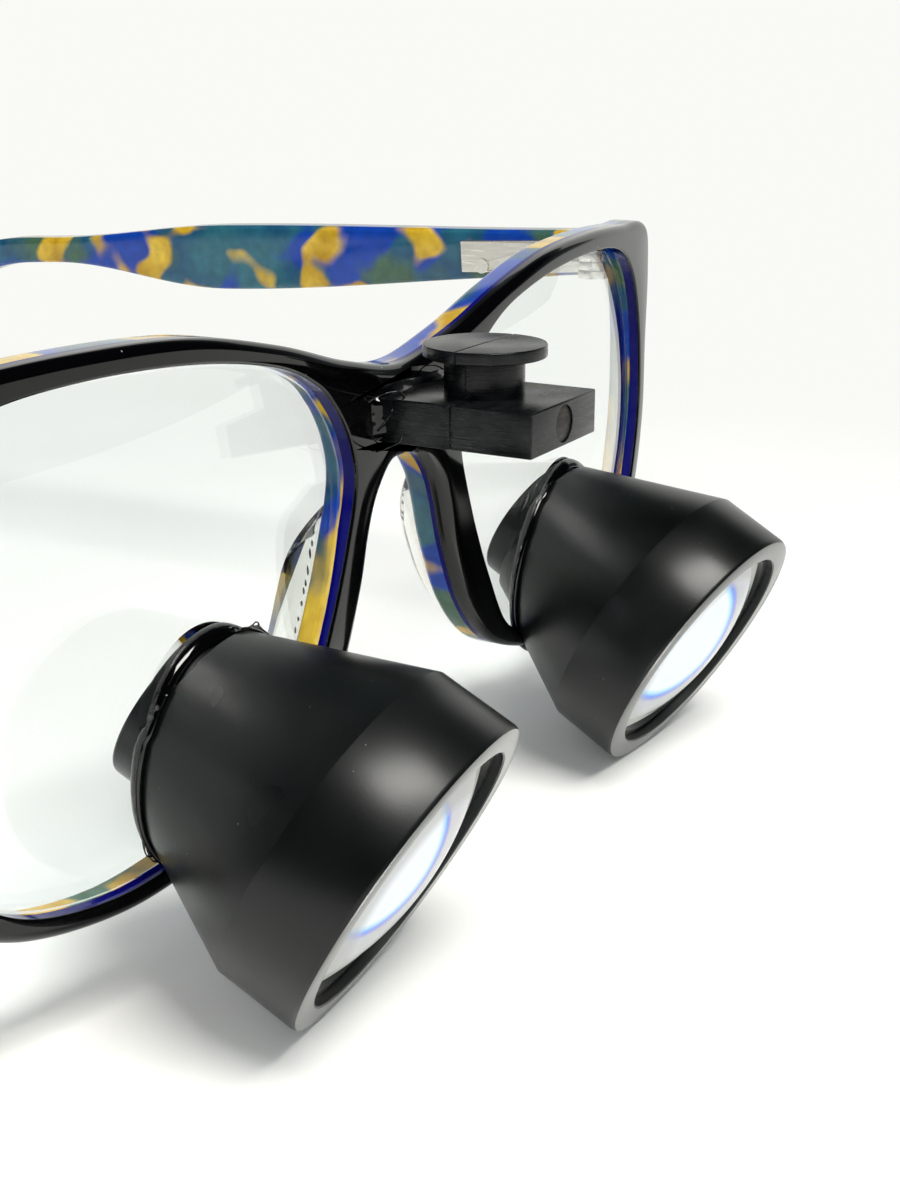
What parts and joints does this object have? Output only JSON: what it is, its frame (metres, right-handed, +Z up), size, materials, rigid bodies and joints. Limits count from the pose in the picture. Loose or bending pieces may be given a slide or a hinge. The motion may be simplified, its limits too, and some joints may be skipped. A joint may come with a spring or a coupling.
{
  "type": "magnifying loupes",
  "caption": "Spectacles with magnifying barrels bonded through the lenses, a lamp mount on the bridge and folding temples.",
  "frame": {"origin": "middle of the bounding box, on the surface that the part stands on", "axes": "+X to the wearer's left, the front and barrels face -Y, +Z up; +Y runs back along the open temples"},
  "size_m": [0.1312, 0.17, 0.0542],
  "materials": {
    "black_acetate": "polished",
    "blue_acetate": "polished",
    "tortoise_acetate": "polished",
    "clear_acetate": "polished",
    "carrier_lens": "polished",
    "optical_glass": "coated",
    "black_aluminium": "satin",
    "black_plastic": "matt",
    "black_adhesive": "glossy",
    "steel": "satin"
  },
  "bodies": {
    "front": {"front_black_layer": "black_acetate", "front_blue_layer": "blue_acetate", "front_tortoise_layer": "tortoise_acetate", "mount_rear_half": "black_plastic", "mount_front_half": "black_plastic", "mount_dowel": "black_plastic", "mount_adhesive": "black_adhesive", "nose_pad_left": "clear_acetate", "carrier_lens_left": "carrier_lens", "barrel_bead_left": "black_adhesive", "barrel_housing_left": "black_aluminium", "objective_retainer_left": "black_aluminium", "eyepiece_cell_left": "black_aluminium", "eyepiece_ring_left": "black_aluminium", "objective_front_lens_left": "optical_glass", "objective_rear_lens_left": "optical_glass", "eyepiece_lens_left": "optical_glass", "front_hinge_left": "steel", "hinge_screw_left": "steel", "front_rivets_left": "steel", "nose_pad_right": "clear_acetate", "carrier_lens_right": "carrier_lens", "barrel_bead_right": "black_adhesive", "barrel_housing_right": "black_aluminium", "objective_retainer_right": "black_aluminium", "eyepiece_cell_right": "black_aluminium", "eyepiece_ring_right": "black_aluminium", "objective_front_lens_right": "optical_glass", "objective_rear_lens_right": "optical_glass", "eyepiece_lens_right": "optical_glass", "front_hinge_right": "steel", "hinge_screw_right": "steel", "front_rivets_right": "steel"},
    "temple_left": {"temple_black_layer_left": "black_acetate", "temple_blue_layer_left": "blue_acetate", "temple_tortoise_layer_left": "tortoise_acetate", "temple_hinge_left": "steel", "temple_rivets_left": "steel", "core_wire_left": "steel"},
    "temple_right": {"temple_black_layer_right": "black_acetate", "temple_blue_layer_right": "blue_acetate", "temple_tortoise_layer_right": "tortoise_acetate", "temple_hinge_right": "steel", "temple_rivets_right": "steel", "core_wire_right": "steel"}
  },
  "joints": [
    {"name": "temple_left_fold", "type": "hinge", "parent": "front", "child": "temple_left", "pos_m": [0.0595, -0.05092, 0.0484], "axis": [0, 0, 1], "range_deg": [0, 90]},
    {"name": "temple_right_fold", "type": "hinge", "parent": "front", "child": "temple_right", "pos_m": [-0.0595, -0.05092, 0.0484], "axis": [0, 0, -1], "range_deg": [0, 76]}
  ]
}
